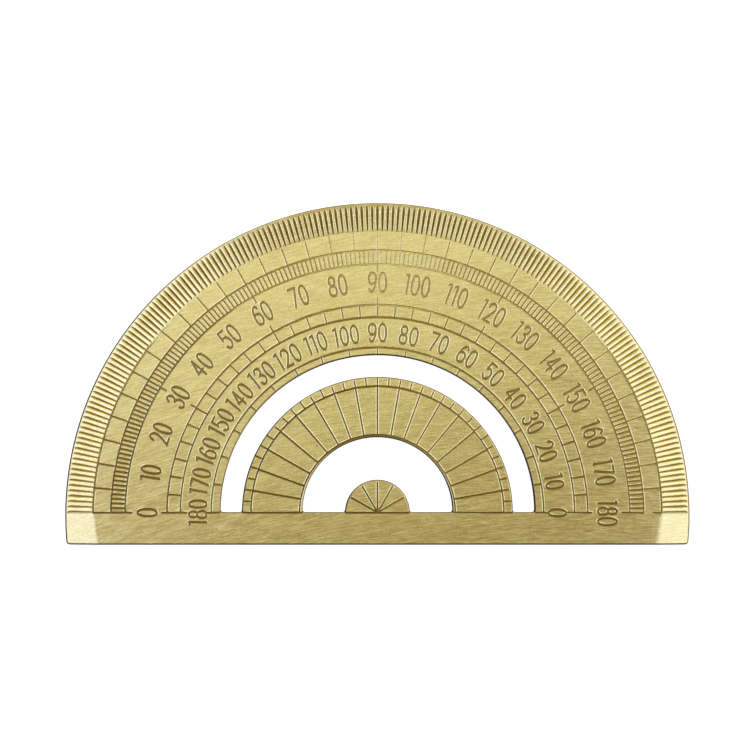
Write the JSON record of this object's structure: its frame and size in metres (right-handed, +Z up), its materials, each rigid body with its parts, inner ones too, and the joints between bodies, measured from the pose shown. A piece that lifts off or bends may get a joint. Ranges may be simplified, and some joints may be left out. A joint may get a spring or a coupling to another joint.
{
  "type": "protractor",
  "caption": "Flat half-round brass protractor with a straight base bar, two pierced arc windows, a reeded rim, engraved degree scales and numerals.",
  "frame": {"origin": "vertex of the angle scales, on the base line, at the plate's underside", "axes": "+X along the base line towards the 0 degree end of the inner scale; +Y towards the 90 degree mark; +Z up out of the graduated face"},
  "size_m": [0.102, 0.0558, 0.0012],
  "materials": {
    "brass": "brushed, lacquered"
  },
  "bodies": {
    "root": {"base_bar": "brass", "outer_scale_arc": "brass", "inner_scale_arc": "brass", "centre_fan": "brass"}
  },
  "joints": []
}
